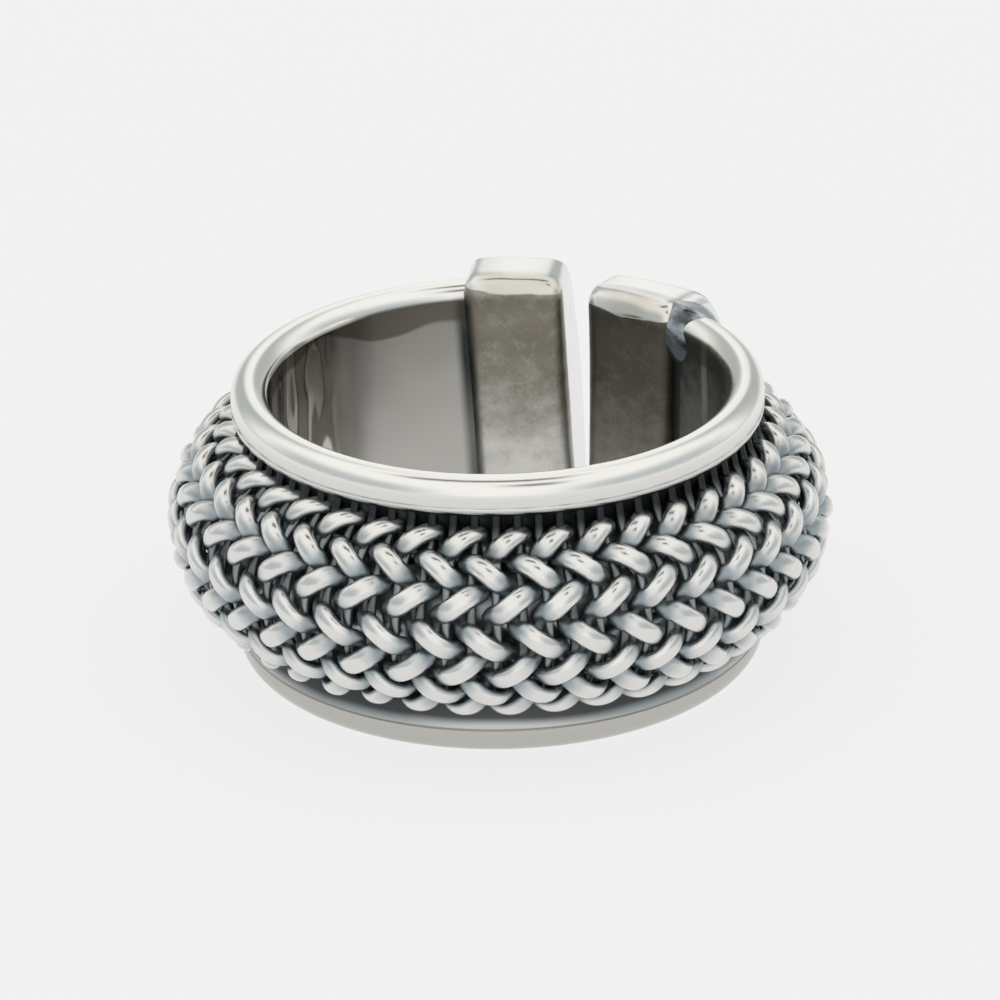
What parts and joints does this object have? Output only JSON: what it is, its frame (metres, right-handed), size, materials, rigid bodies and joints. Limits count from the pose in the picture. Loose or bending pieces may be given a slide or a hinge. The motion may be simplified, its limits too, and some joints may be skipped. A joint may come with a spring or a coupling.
{
  "type": "braided band ring",
  "caption": "Open band ring: a plait of round wires lies around a domed band between two rolled rims, closed by a plain block at each side of a narrow gap.",
  "frame": {"origin": "on the axis of the finger hole, at the height of the flat on the lower rim, on which the ring lies", "axes": "+Z along the axis of the finger hole, up; +Y from the axis towards the gap between the end blocks; +X to the right block's side"},
  "size_m": [0.0288, 0.029, 0.013],
  "materials": {
    "polished_silver": "polished",
    "satin_silver": "satin, lightly tarnished",
    "oxidised_wire": "oxidised in the recesses, worn bright on top"
  },
  "bodies": {
    "root": {"shank": "polished_silver", "left_end_block": "satin_silver", "right_end_block": "satin_silver", "strand_1": "oxidised_wire", "strand_2": "oxidised_wire", "strand_3": "oxidised_wire", "strand_4": "oxidised_wire", "strand_5": "oxidised_wire", "strand_6": "oxidised_wire", "strand_7": "oxidised_wire", "strand_8": "oxidised_wire"}
  },
  "joints": []
}
